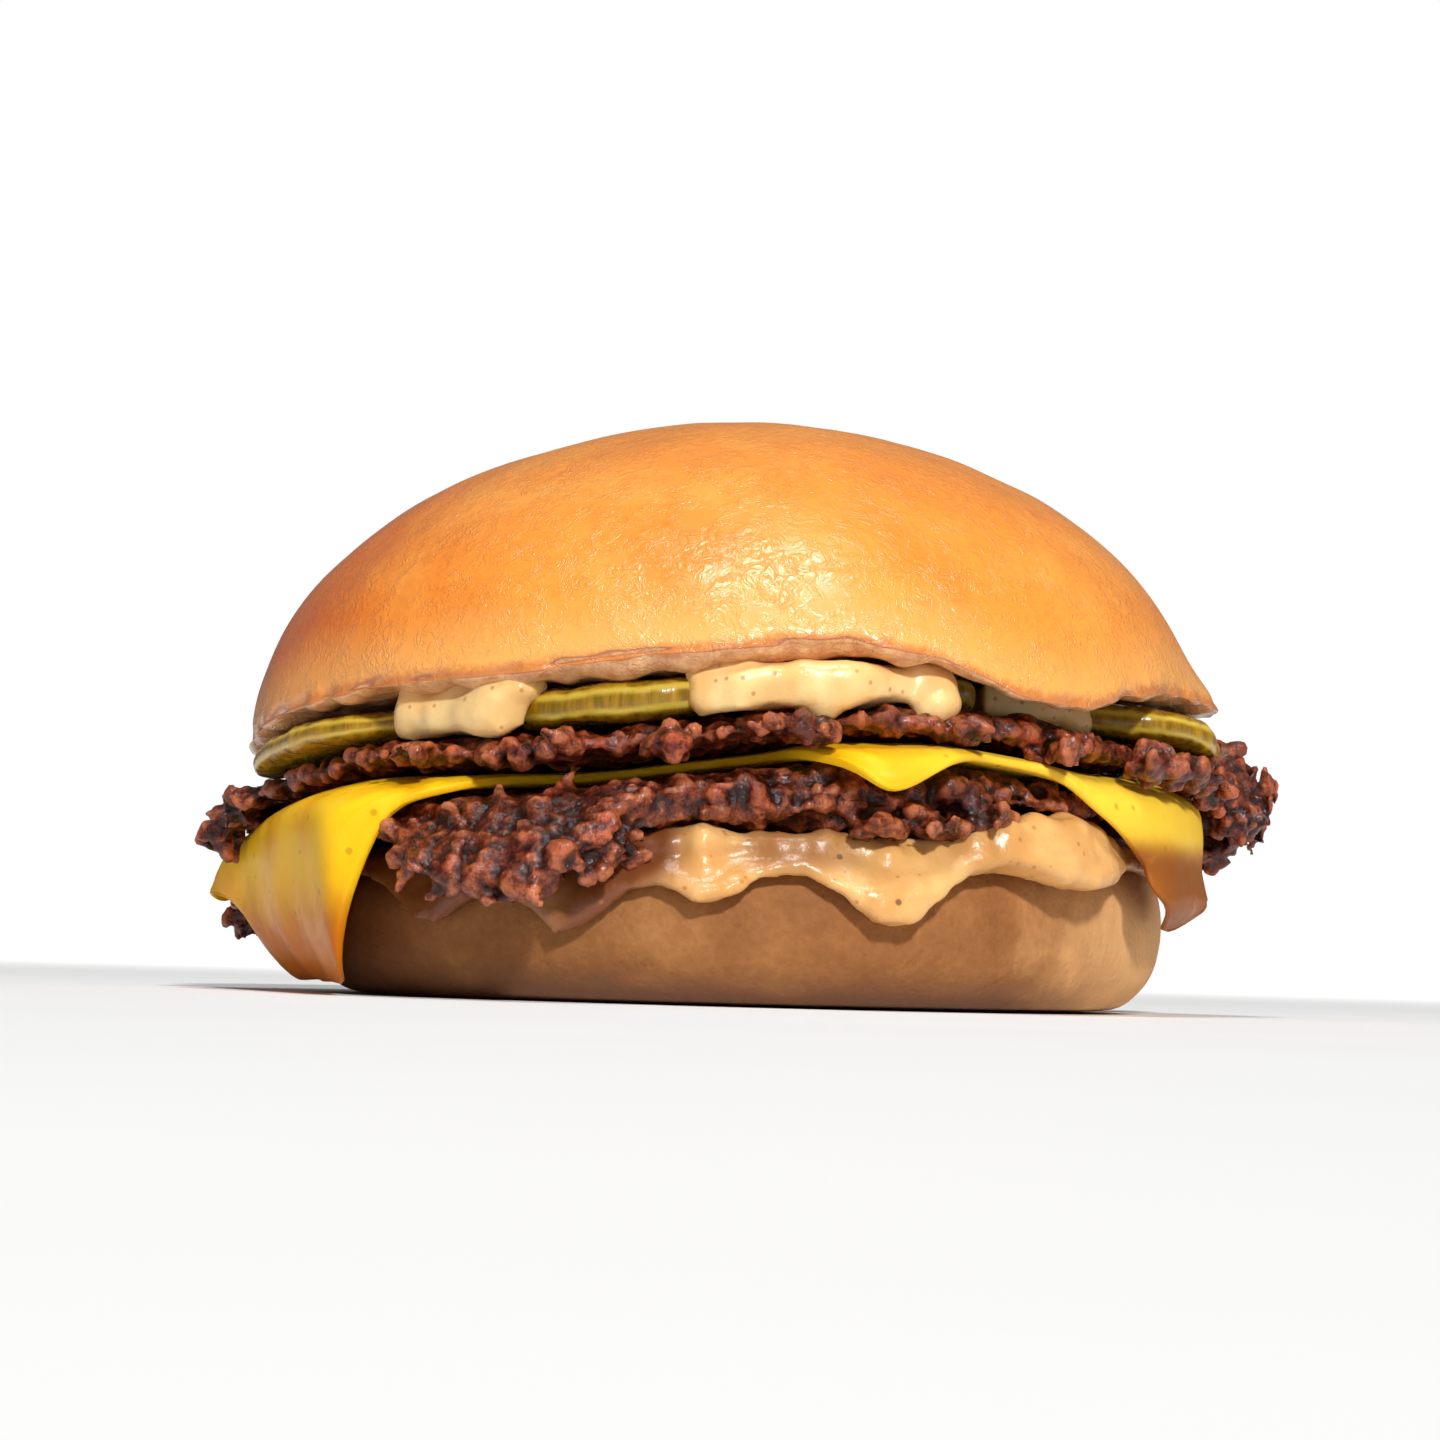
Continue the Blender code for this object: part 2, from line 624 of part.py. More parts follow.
def make_crown():
    """Top bun: the cut face, a band of crumb, the lip of the crust and the glazed dome."""
    height = CROWN_TOP - CROWN_EQUATOR

    def dome(angle, u):
        rise = CROWN_LIP_RISE + lumps(angle, CROWN_LIP_LUMPS) + ripple(angle, CROWN_LIP_RIPPLE)
        lip = crown_base(angle, CROWN_RADIUS - CROWN_CUT_INSET) + rise
        first = math.asin((lip - CROWN_EQUATOR) / height)
        climb = first + (math.pi / 2 - first) * u
        flare = lumps(angle, CROWN_FLARES) * math.exp(-((u / CROWN_FLARE_CLIMB) ** 2))
        depth = 1 - (1 - CROWN_DEPTH_RATIO) * math.sin(math.radians(angle)) ** 2
        r = CROWN_RADIUS * math.cos(climb) * depth + flare
        return r, CROWN_EQUATOR + height * math.sin(climb) - CROWN_FLARE_SAG * flare

    def place(angle, s, level):
        r_lip, z_lip = dome(angle, 0.0)
        r_cut = r_lip - CROWN_CUT_INSET - CROWN_FLARE_CUT * lumps(angle, CROWN_FLARES)
        if level == 1:
            r, z = dome(angle, 1 - s)
        elif level == 0:
            r = s * r_cut
            z = crown_base(angle, r)
        else:
            low = crown_base(angle, r_cut)
            r = r_cut + (r_lip - r_cut) * math.sin(level * math.pi / 2)
            z = low + (z_lip - low) * level
        lean = CROWN_LEAN * max(0.0, z - CROWN_LEAN_FROM)
        return polar(angle, r, z) + Vector((CROWN_SHIFT + lean, 0, 0)) * MM

    outline = [(ring, 0.0) for ring in CROWN_CUT_RINGS] + [(1.0, 0.5)]
    outline += [(ring, 1.0) for ring in CROWN_DOME_RINGS]
    return turned("crown", outline, CROWN_STEPS, place, food("bun_crust", (0.83, 0.38, 0.1), 0.35))


def main():
    for old in list(bpy.data.objects):
        bpy.data.objects.remove(old)
    make_heel()
    make_lower_sauce()
    make_lower_patty()
    make_cheese()
    make_upper_patty()
    cutters = make_pickles(food("pickle", (0.33, 0.24, 0.02), 0.35))
    make_upper_sauce(cutters)
    make_crown()


main()
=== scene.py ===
import math
import random

import bmesh
import bpy
import numpy as np
from mathutils import Matrix, Vector, noise


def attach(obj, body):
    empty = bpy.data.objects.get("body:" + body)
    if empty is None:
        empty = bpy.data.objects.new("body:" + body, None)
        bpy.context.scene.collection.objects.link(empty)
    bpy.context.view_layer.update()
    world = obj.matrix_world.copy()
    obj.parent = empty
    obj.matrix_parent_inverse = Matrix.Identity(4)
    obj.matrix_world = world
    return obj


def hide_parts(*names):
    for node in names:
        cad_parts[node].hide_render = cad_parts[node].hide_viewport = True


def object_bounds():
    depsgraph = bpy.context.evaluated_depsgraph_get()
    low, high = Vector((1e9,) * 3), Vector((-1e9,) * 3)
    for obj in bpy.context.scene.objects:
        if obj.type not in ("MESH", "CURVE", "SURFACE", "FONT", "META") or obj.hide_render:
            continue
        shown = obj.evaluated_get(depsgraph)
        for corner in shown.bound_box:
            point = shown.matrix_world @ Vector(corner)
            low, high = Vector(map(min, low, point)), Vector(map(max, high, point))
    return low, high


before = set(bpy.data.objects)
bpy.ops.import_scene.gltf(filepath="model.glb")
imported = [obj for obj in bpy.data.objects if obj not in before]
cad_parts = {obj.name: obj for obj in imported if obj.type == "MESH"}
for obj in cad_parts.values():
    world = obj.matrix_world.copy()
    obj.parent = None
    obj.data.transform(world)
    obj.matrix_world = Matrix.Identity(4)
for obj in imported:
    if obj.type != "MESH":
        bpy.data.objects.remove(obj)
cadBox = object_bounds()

mm = 0.001
burgerAxis = Vector((-2.43, 1.415, 0.0)) * mm  # the stack's own middle, off the centre of the box


def report(stage):
    print("stage:", stage, flush=True)


# small helpers for shapes


def smoothStep(low, high, value):
    t = min(1.0, max(0.0, (value - low) / (high - low)))
    return t * t * (3 - 2 * t)


def angleOf(point):
    return math.degrees(math.atan2(point.y - burgerAxis.y, point.x - burgerAxis.x))


def turnFrom(angle, middle):
    return (angle - middle + 180) % 360 - 180


def lump(angle, middle, width):
    return math.exp(-((turnFrom(angle, middle) / width) ** 2))


def radiusOf(point):
    return math.hypot(point.x - burgerAxis.x, point.y - burgerAxis.y)


def outwardAt(point):
    return Vector((point.x - burgerAxis.x, point.y - burgerAxis.y, 0)).normalized()


def nodeShape(node):
    # the CAD node's own surface, merged and back in quads
    shape = bmesh.new()
    shape.from_mesh(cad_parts[node].data)
    bmesh.ops.remove_doubles(shape, verts=shape.verts, dist=0.002 * mm)
    bmesh.ops.join_triangles(
        shape,
        faces=shape.faces,
        angle_face_threshold=math.radians(50),
        angle_shape_threshold=math.radians(60),
    )
    return shape


def asPiece(shape, name):
    mesh = bpy.data.meshes.new(name)
    shape.to_mesh(mesh)
    shape.free()
    piece = bpy.data.objects.new(name, mesh)
    bpy.context.scene.collection.objects.link(piece)
    return piece


def applyModifiers(piece):
    evaluated = piece.evaluated_get(bpy.context.evaluated_depsgraph_get())
    mesh = bpy.data.meshes.new_from_object(evaluated)
    piece.modifiers.clear()
    old = piece.data
    piece.data = mesh
    mesh.name = piece.name
    bpy.data.meshes.remove(old)
    return piece


def rounded(piece, levels):
    divide = piece.modifiers.new("rounded", "SUBSURF")
    divide.levels = divide.render_levels = levels
    return applyModifiers(piece)


def fused(piece, voxel):
    # one closed skin round everything in the piece
    skin = piece.modifiers.new("fused", "REMESH")
    skin.mode = "VOXEL"
    skin.voxel_size = voxel * mm
    return applyModifiers(piece)


def thinInside(piece, within, ratio=0.45):
    # the hidden middle needs no fine faces
    inside = piece.vertex_groups.new(name="inside")
    inside.add([vert.index for vert in piece.data.vertices if radiusOf(vert.co) / mm < within], 1.0, "REPLACE")
    fewer = piece.modifiers.new("fewer", "DECIMATE")
    fewer.ratio = ratio
    fewer.vertex_group = "inside"
    applyModifiers(piece)
    piece.vertex_groups.clear()


def coordinates(mesh):
    points = np.zeros(len(mesh.vertices) * 3, np.float32)
    mesh.vertices.foreach_get("co", points)
    return points.reshape(-1, 3).astype(float)


def setCoordinates(mesh, points):
    mesh.vertices.foreach_set("co", points.astype(np.float32).ravel())
    mesh.update()


def relaxed(mesh, points, rounds, share=0.5):
    # every point moves towards the middle of its neighbours
    ends = np.zeros(len(mesh.edges) * 2, np.int32)
    mesh.edges.foreach_get("vertices", ends)
    ends = ends.reshape(-1, 2)
    count = np.bincount(ends.ravel(), minlength=len(points)).astype(float)
    count[count == 0] = 1
    for _ in range(rounds):
        total = np.zeros_like(points)
        for axis in range(3):
            total[:, axis] += np.bincount(ends[:, 0], points[ends[:, 1], axis], len(points))
            total[:, axis] += np.bincount(ends[:, 1], points[ends[:, 0], axis], len(points))
        points = points * (1 - share) + total / count[:, None] * share
    return points


def smoothed(piece, rounds, share=0.5):
    mesh = piece.data
    setCoordinates(mesh, relaxed(mesh, coordinates(mesh), rounds, share))


def pointsAndNormals(mesh):
    normals = np.zeros(len(mesh.vertices) * 3, np.float32)
    mesh.vertex_normals.foreach_get("vector", normals)
    return [Vector(co) for co in coordinates(mesh)], [Vector(n) for n in normals.reshape(-1, 3)]


def moved(piece, rule):
    # rule(point, normal) gives how far each vertex goes along its normal, in mm, or a vector in mm
    points, normals = pointsAndNormals(piece.data)
    for point, normal in zip(points, normals):
        step = rule(point, normal)
        point += step * mm if isinstance(step, Vector) else normal * (step * mm)
    setCoordinates(piece.data, np.array(points))


def keepRelief(piece, rounds):
    # how far each vertex stands out of the smoothed surface, in mm, for the finish to read: it paints shade
    # into the hollows
    mesh = piece.data
    points = coordinates(mesh)
    smooth = relaxed(mesh, points, rounds)
    normals = np.array(pointsAndNormals(mesh)[1])
    values = ((points - smooth) * normals).sum(1) / mm
    layer = mesh.attributes.new("relief", "FLOAT", "POINT")
    layer.data.foreach_set("value", values.astype(np.float32))


def keepValue(piece, name, rule):
    points, normals = pointsAndNormals(piece.data)
    layer = piece.data.attributes.new(name, "FLOAT", "POINT")
    layer.data.foreach_set("value", [rule(point, normal) for point, normal in zip(points, normals)])


def noiseAt(point, size, seed=0.0):
    # smooth noise of about -1 to 1 whose lumps are size mm across
    return noise.noise(point / (size * mm) + Vector((seed, seed * 0.7, -seed))) * 1.6


def layered(point, layers, start=0.0):
    # layers are (height in mm, width of the lumps in mm, seed)
    return sum((height * noiseAt(point, size, seed) for height, size, seed in layers), start)


def drawnIn(piece, give=3.0, clearance=0.05):
    # tips that reach past the CAD's box are drawn in, together with the last few mm before them
    points = coordinates(piece.data)
    for axis, side in ((0, 1), (0, -1), (1, 1), (1, -1), (2, 1)):
        limit = cadBox[1][axis] if side > 0 else -cadBox[0][axis]
        start = limit - give * mm
        place = points[:, axis] * side
        reach = place.max() + clearance * mm
        if reach > limit:
            share = (limit - start) / (reach - start)
            points[:, axis] = side * np.where(place > start, start + (place - start) * share, place)
    setCoordinates(piece.data, points)


def dressed(piece, finish, node):
    drawnIn(piece)
    piece.data.materials.clear()
    piece.data.materials.append(finish)
    piece.data.shade_smooth()
    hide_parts(node)
    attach(piece, "root")


# small helpers for finishes


class Finish:
    # a Principled material and short ways to add nodes to it
    def __init__(self, name):
        self.material = bpy.data.materials.new(name)
        self.material.use_nodes = True
        self.tree = self.material.node_tree
        self.shader = self.tree.nodes["Principled BSDF"]
        self.coords = self.tree.nodes.new("ShaderNodeTexCoord").outputs["Object"]

    def node(self, kind, **settings):
        made = self.tree.nodes.new(kind)
        for key, value in settings.items():
            setattr(made, key, value)
        return made

    def link(self, source, target):
        if hasattr(source, "links"):
            self.tree.links.new(source, target)
        else:
            target.default_value = source

    def fixed(self, **values):
        for key, value in values.items():
            self.shader.inputs[key.replace("_", " ")].default_value = value

    def stretched(self, scale):
        node = self.node("ShaderNodeMapping")
        node.inputs["Scale"].default_value = scale
        self.link(self.coords, node.inputs["Vector"])
        return node.outputs["Vector"]

    def noise(self, size, detail=3.0, rough=0.55, twist=0.0, coords=None):
        # size is the lumps' width in mm
        node = self.node("ShaderNodeTexNoise")
        self.link(coords or self.coords, node.inputs["Vector"])
        node.inputs["Scale"].default_value = 1000.0 / size
        node.inputs["Detail"].default_value = detail
        node.inputs["Roughness"].default_value = rough
        node.inputs["Distortion"].default_value = twist
        return node.outputs["Fac"]

    def cells(self, size):
        node = self.node("ShaderNodeTexVoronoi")
        self.link(self.coords, node.inputs["Vector"])
        node.inputs["Scale"].default_value = 1000.0 / size
        return node.outputs["Distance"]

    def ramp(self, value, stops):
        node = self.node("ShaderNodeValToRGB")
        self.link(value, node.inputs["Fac"])
        marks = node.color_ramp.elements
        while len(marks) < len(stops):
            marks.new(0.5)
        for mark, (place, tone) in zip(marks, stops):
            mark.position = place
            mark.color = (*tone, 1.0)
        return node.outputs["Color"]

    def mixed(self, share, first, second, mode="MIX"):
        node = self.node("ShaderNodeMix", data_type="RGBA", blend_type=mode)
        self.link(share, node.inputs["Factor"])
        for tone, socket in ((first, node.inputs["A"]), (second, node.inputs["B"])):
            self.link((*tone, 1.0) if isinstance(tone, tuple) else tone, socket)
        return node.outputs["Result"]

    def tinted(self, tone, share, amount, colour):
        # the colour covers the tone by the amount, where the share is full
        return self.mixed(self.maths("MULTIPLY", share, amount), tone, colour)

    def shaded(self, tone, colour):
        return self.mixed(1.0, tone, colour, "MULTIPLY")

    def maths(self, operation, first, second=0.0):
        node = self.node("ShaderNodeMath", operation=operation)
        self.link(first, node.inputs[0])
        self.link(second, node.inputs[1])
        return node.outputs["Value"]

    def ranged(self, value, low, high, toLow=0.0, toHigh=1.0):
        node = self.node("ShaderNodeMapRange", interpolation_type="SMOOTHSTEP")
        self.link(value, node.inputs["Value"])
        limits = {"From Min": low, "From Max": high, "To Min": toLow, "To Max": toHigh}
        for key, number in limits.items():
            node.inputs[key].default_value = number
        return node.outputs["Result"]

    def wavering(self, place, source, by, low=0.0, high=1.0):
        # a place pushed to and fro by a noise, so that no border runs straight
        return self.maths("ADD", place, self.ranged(source, low, high, -by, by))

    def kept(self, name):
        node = self.node("ShaderNodeAttribute", attribute_name=name)
        return node.outputs["Fac"]

    def along(self, axis):
        # the place along one axis of the frame, in mm
        node = self.node("ShaderNodeSeparateXYZ")
        self.link(self.coords, node.inputs["Vector"])
        return self.maths("MULTIPLY", node.outputs[axis], 1000.0)

    def bumped(self, height, depth, strength=1.0, under=None):
        # depth is how deep the bump seems, in mm
        node = self.node("ShaderNodeBump")
        node.inputs["Strength"].default_value = strength
        node.inputs["Distance"].default_value = depth * mm
        self.link(height, node.inputs["Height"])
        if under is not None:
            self.link(under, node.inputs["Normal"])
        return node.outputs["Normal"]

    def done(self, tone, roughness, normal=None):
        self.link(tone, self.shader.inputs["Base Color"])
        self.link(roughness, self.shader.inputs["Roughness"])
        if normal is not None:
            self.link(normal, self.shader.inputs["Normal"])
            self.link(normal, self.shader.inputs["Coat Normal"])
        return self.material


# top bun

crown = {
    "levels": 3,
    "dents": ((0.35, 24, 2.0), (0.12, 7, 5.0)),
    "inset": 0.3,  # how far the crust stays inside the CAD's surface, in mm
    "insetLess": 0.28,  # and how much less far at the right,
    "insetOver": 25,  # from this many mm on
    "lipRagged": 0.55,
    "lipGrain": 3.4,
    "lipInset": 0.2,
    "lipZone": 2.6,  # how far the ragged edge reaches above the lip
    "lipStep": 4,  # degrees between the places where the lip's height is read
    "roughness": (0.36, 0.5),
    "tones": {
        "crust": ((0.3, (0.80, 0.235, 0.020)), (0.52, (0.86, 0.285, 0.030)), (0.72, (0.90, 0.345, 0.052))),
        "grain": (1.12, 1.12, 1.12),
        "left": (0.66, 0.118, 0.002),
        "aboveLip": (0.92, 0.47, 0.13),
        "rim": (0.50, 0.12, 0.02),
        "crumb": ((0.35, (0.56, 0.22, 0.085)), (0.7, (0.84, 0.50, 0.24))),
        "torn": (0.36, 0.075, 0.016),
    },
}


def glazedCrust():
    look = Finish("glazed_crust")
    tones = crown["tones"]
    patches = look.noise(14, detail=4, twist=0.4)
    grain = look.noise(1.1, detail=5, rough=0.7)
    tone = look.ramp(patches, tones["crust"])
    tone = look.mixed(look.ranged(grain, 0.35, 0.75), tone, look.shaded(tone, tones["grain"]))
    # deeper orange towards the left: painted shade of the side away from the key lamp, with a deeper bake;
    # paler just above the lip
    left = look.ranged(look.wavering(look.along("X"), patches, 8), -18, -56)
    tone = look.mixed(left, tone, tones["left"])
    low = look.ranged(look.wavering(look.kept("aboveLip"), patches, 3), 9.0, 0.8)
    tone = look.tinted(tone, low, 0.6, tones["aboveLip"])
    # darker and reddish over the last mm above the lip: painted shade along the lip, with the crust's darker
    # edge
    rim = look.ranged(look.wavering(look.kept("aboveLip"), grain, 0.3, 0.3, 0.7), 1.8, 0.5)
    tone = look.tinted(tone, rim, 0.7, tones["rim"])
    # crumb on the cut face and on the band under the lip
    crumb = look.ramp(look.noise(1.6, detail=5, rough=0.7), tones["crumb"])
    crust = look.kept("crust")
    tone = look.mixed(crust, crumb, tone)
    # the edge between crust and crumb, where the lip rolls under, is dark and reddish: the crust's own edge
    # with painted shade
    torn = look.maths("SUBTRACT", look.ranged(crust, 0.1, 0.5), look.ranged(crust, 0.6, 1.0))
    tone = look.tinted(tone, torn, 0.7, tones["torn"])
    # fine creases, in patches
    bent = look.noise(3.2, rough=0.6, twist=0.8)
    wrinkles = look.maths("ABSOLUTE", look.maths("SUBTRACT", look.noise(1.9, rough=0.62, twist=1.2), 0.5))
    creases = look.maths("MULTIPLY", look.ranged(wrinkles, 0.0, 0.09), look.ranged(bent, 0.35, 0.6))
    normal = look.bumped(creases, 0.10, 0.7)
    normal = look.bumped(look.noise(0.7, detail=4, rough=0.6), 0.05, 0.6, normal)
    look.fixed(
        Coat_Weight=0.85,
        Coat_Roughness=0.24,
        Specular_IOR_Level=0.3,
        Subsurface_Weight=0.05,
        Subsurface_Scale=0.002,
        Subsurface_Radius=(1.0, 0.4, 0.15),
    )
    return look.done(tone, look.ranged(grain, 0.3, 0.7, *crown["roughness"]), normal)


def makeCrown():
    piece = rounded(asPiece(nodeShape("crown"), "crown_crust"), crown["levels"])

    # the lip's height round the burger, to measure from
    step = crown["lipStep"]
    around = 360 // step
    lip = {}
    for point, normal in zip(*pointsAndNormals(piece.data)):
        if abs(normal.z) < 0.5:
            key = round(angleOf(point) / step) % around
            lip[key] = min(lip.get(key, 1.0), point.z)

    def aboveLip(point):
        turn = angleOf(point) / step
        low, share = math.floor(turn), turn - math.floor(turn)
        height = lip.get(low % around, 0.03) * (1 - share) + lip.get((low + 1) % around, 0.03) * share
        return (point.z - height) / mm

    def shapeIt(point, normal):
        outward = smoothStep(-0.45, -0.1, normal.z)  # the cut face looks down and stays as it is
        dent = layered(point, crown["dents"])
        full = crown["insetLess"] * smoothStep(0, crown["insetOver"], point.x / mm) - crown["inset"]
        near = 1 - smoothStep(0, crown["lipZone"], aboveLip(point))
        ragged = crown["lipRagged"] * noiseAt(point, crown["lipGrain"], 8.0) - crown["lipInset"]
        return outward * (dent + full) + near * smoothStep(38, 46, radiusOf(point) / mm) * ragged

    moved(piece, shapeIt)
    keepValue(piece, "crust", lambda point, normal: smoothStep(-0.45, -0.12, normal.z))
    keepValue(piece, "aboveLip", lambda point, normal: aboveLip(point))
    dressed(piece, glazedCrust(), "crown")


# bottom bun

heel = {
    "levels": 2,
    "dents": ((0.3, 14, 3.0), (0.1, 2.6, 6.0)),
    "inset": 0.25,
    "flat": (0.3, 2.5),  # heights in mm between which the shaping sets in, so that the base stays flat
    "roughness": (0.62, 0.78),
    "tones": {
        "side": ((0.32, (0.27, 0.100, 0.028)), (0.52, (0.345, 0.140, 0.043)), (0.7, (0.44, 0.195, 0.066))),
        "grain": (0.86, 0.84, 0.80),
        "base": (0.24, 0.105, 0.052),
        "right": (0.95, 0.53, 0.22),
        "left": (0.15, 0.055, 0.018),
    },
}


def bakedSide():
    look = Finish("baked_side")
    tones = heel["tones"]
    patches = look.noise(11, detail=4, rough=0.6, twist=0.3)
    grain = look.noise(0.9, detail=5, rough=0.7)
    tone = look.ramp(patches, tones["side"])
    tone = look.mixed(look.ranged(grain, 0.36, 0.66), look.shaded(tone, tones["grain"]), tone)
    base = look.ranged(look.wavering(look.along("Z"), patches, 1.5), 4.5, 0.4)
    tone = look.mixed(base, tone, tones["base"])
    # paler towards the right: painted light from the key lamp; darker towards the left: painted shade
    across = look.wavering(look.along("X"), patches, 5)
    tone = look.tinted(tone, look.ranged(across, 26, 44), 0.8, tones["right"])
    tone = look.tinted(tone, look.ranged(across, -16, -34), 0.4, tones["left"])
    pores = look.ranged(look.cells(1.3), 0.05, 0.4)
    normal = look.bumped(grain, 0.16, 0.8, look.bumped(pores, 0.10, 0.5))
    look.fixed(Subsurface_Weight=0.08, Subsurface_Scale=0.002, Specular_IOR_Level=0.2)
    return look.done(tone, look.ranged(patches, 0.3, 0.7, *heel["roughness"]), normal)


def makeHeel():
    piece = rounded(asPiece(nodeShape("heel"), "heel_crust"), heel["levels"])

    def shapeIt(point, normal):
        clear = smoothStep(*heel["flat"], point.z / mm)
        return clear * (layered(point, heel["dents"]) - heel["inset"])

    moved(piece, shapeIt)
    dressed(piece, bakedSide(), "heel")


# cheese

cheese = {
    "levels": 2,
    "sag": 0.35,
    "folds": 0.45,
    "foldSize": (9.0, 26.0),  # a fold's width in degrees and its length in mm
    # the broad corner at the right: its middle and half its width in degrees, then mm
    "flap": {"angle": -20, "spread": 26, "wider": 0.75, "out": 1.3, "tuck": 3.0},
    "stain": {"left": (15.5, 3.0), "right": (20.5, 14.5)},  # heights in mm where it begins and is full
    "roughness": (0.30, 0.44),
    "tones": {
        "slice": ((0.3, (0.92, 0.40, 0.004)), (0.5, (0.96, 0.50, 0.008)), (0.72, (0.97, 0.57, 0.02))),
        "right": (0.97, 0.66, 0.07),
        "low": (0.56, 0.150, 0.004),
        "lowRight": (0.27, 0.085, 0.018),
        "grease": (0.80, 0.27, 0.012),
        "specks": (0.34, 0.20, 0.01),
    },
}


def meltedCheese():
    look = Finish("melted_cheese")
    tones = cheese["tones"]
    patches = look.noise(9, detail=4, rough=0.6, twist=0.5)
    tone = look.ramp(patches, tones["slice"])
    across = look.along("X")
    # paler towards the right: painted light from the key lamp
    tone = look.tinted(tone, look.ranged(across, 8, 30), 0.6, tones["right"])
    # the drape goes orange-brown towards the floor: painted shade low on the drape, with sauce and grease on
    # it
    stain = look.kept("stain")
    low = look.ranged(look.wavering(stain, patches, 0.15, 0.3, 0.7), 0.1, 1.0)
    tone = look.mixed(low, tone, tones["low"])
    # darker still on the low right flap: painted shade, with sauce on it
    lowRight = look.maths("MULTIPLY", look.ranged(stain, 0.2, 0.9), look.ranged(across, 20, 35))
    tone = look.tinted(tone, lowRight, 0.85, tones["lowRight"])
    grease = look.ranged(look.noise(5, detail=4, rough=0.65, twist=0.8), 0.58, 0.72)
    tone = look.tinted(tone, grease, 0.35, tones["grease"])
    specks = look.ranged(look.cells(3.2), 0.16, 0.07)
    tone = look.tinted(tone, specks, 0.55, tones["specks"])
    normal = look.bumped(look.noise(2.2, rough=0.5), 0.08, 0.5)
    look.fixed(
        Subsurface_Weight=0.22,
        Subsurface_Scale=0.003,
        Subsurface_Radius=(1.0, 0.45, 0.08),
        Specular_IOR_Level=0.08,
    )
    return look.done(tone, look.ranged(patches, 0.3, 0.7, *cheese["roughness"]), normal)


def makeCheese():
    piece = rounded(asPiece(nodeShape("cheese"), "cheese_slice"), cheese["levels"])
    smoothed(piece, 2, 0.4)
    flap = cheese["flap"]
    foldWidth, foldLength = cheese["foldSize"]

    def shapeIt(point, normal):
        r = radiusOf(point) / mm
        angle = angleOf(point)
        out = outwardAt(point)
        # soft upright folds where it hangs
        hanging = smoothStep(21, 13, point.z / mm) * (1 - smoothStep(0.5, 0.9, abs(normal.z)))
        fold = noise.noise(Vector((angle / foldWidth, point.z / (foldLength * mm), 3.0))) * 1.6
        wave = cheese["folds"] * hanging * (fold - 0.35)
        lumps = smoothStep(42, 47, r) * cheese["sag"] * noiseAt(point, 9, 1.0)
        step = out * wave + out * lumps * 0.4 + Vector((0, 0, lumps * 0.5))
        # the right corner hangs as a broad rounded flap
        turn = turnFrom(angle, flap["angle"])
        low = smoothStep(16, 11, point.z / mm) * smoothStep(46, 49, r) if abs(turn) < flap["spread"] else 0.0
        around = Vector((-out.y, out.x, 0)) * math.radians(turn) * r * flap["wider"]
        curl = flap["out"] - (flap["out"] + flap["tuck"]) * smoothStep(12.0, 7.0, point.z / mm)
        return step + (around + out * curl) * low

    # how low on the drape: where the painted shade and the sauce stain set in
    def stain(point, normal):
        side = "right" if point.x > burgerAxis.x else "left"
        return smoothStep(*cheese["stain"][side], point.z / mm)

    moved(piece, shapeIt)
    keepValue(piece, "stain", stain)
    dressed(piece, meltedCheese(), "cheese")


# balls that are fused with a piece: bulbs of sauce and nuggets of meat


def addBalls(mesh, places, fineness=1):
    # in batches, because the operator slows down as its mesh grows
    whole = bmesh.new()
    whole.from_mesh(mesh)
    for first in range(0, len(places), 50):
        batch = bmesh.new()
        for place in places[first : first + 50]:
            bmesh.ops.create_icosphere(batch, subdivisions=fineness, radius=1.0, matrix=place)
        part = bpy.data.meshes.new("batch")
        batch.to_mesh(part)
        batch.free()
        whole.from_mesh(part)
        bpy.data.meshes.remove(part)
    whole.to_mesh(mesh)
    whole.free()


# sauces

sauce = {
    "full": 0.15,  # how much both are plumped, in mm
    "fineness": 2,
    "hidden": 38.0,  # within this many mm of the axis nothing shows
    "roughness": (0.26, 0.38),
    "specks": (0.42, 0.13, 0.03),
    "bits": (0.10, 0.045, 0.02),
}
# bulbs are (angle, distance from the axis, height, radius, how tall), in degrees and mm
lowerSauce = {
    "node": "lower_sauce",
    "piece": "sauce_drips",
    "slot": "sauce",
    "voxel": 0.5,
    "smooth": 5,
    "lumps": ((0.35, 5.0, 2.5), (0.12, 1.8, 7.5)),
    "bulbs": (
        (-91.4, 48.6, 13.4, 1.9, 1.3), (-91.4, 48.3, 15.4, 1.8, 1.3),
        (-69.3, 48.7, 11.4, 2.5, 1.1), (-69.8, 48.5, 14.2, 2.3, 1.2),
        (-59, 48.8, 16.4, 2.3, 1.0), (-55, 49.3, 16.8, 2.8, 1.0), (-50, 49.6, 17.2, 3.1, 1.0),
        (-45, 49.6, 17.6, 3.1, 1.0), (-41, 49.3, 17.4, 2.8, 1.0), (-38, 49.0, 16.8, 2.4, 0.9),
    ),
    "beads": ({"from": -106, "to": -60, "apart": 2.6, "out": 47.3, "height": 15.5, "radius": 1.9, "seed": 3},),
    # where the sauce is darkened: painted shade under the patty at patches given by angle and width, and thin
    # brownish sauce, partly painted shade, all between the thick drips
    "film": {
        "shadePatches": ((-122, 22), (-103, 9)),
        "heights": (11.5, 15.0),
        "drips": ((-91.4, 4.5, 0.95), (-68, 5.5, 0.95), (-46, 15, 0.97)),
        "between": 0.62,
    },
    "finish": "pale_sauce",
    "tones": {"pale": (0.80, 0.46, 0.165), "deep": (0.70, 0.35, 0.105), "thin": (0.19, 0.055, 0.015)},
}
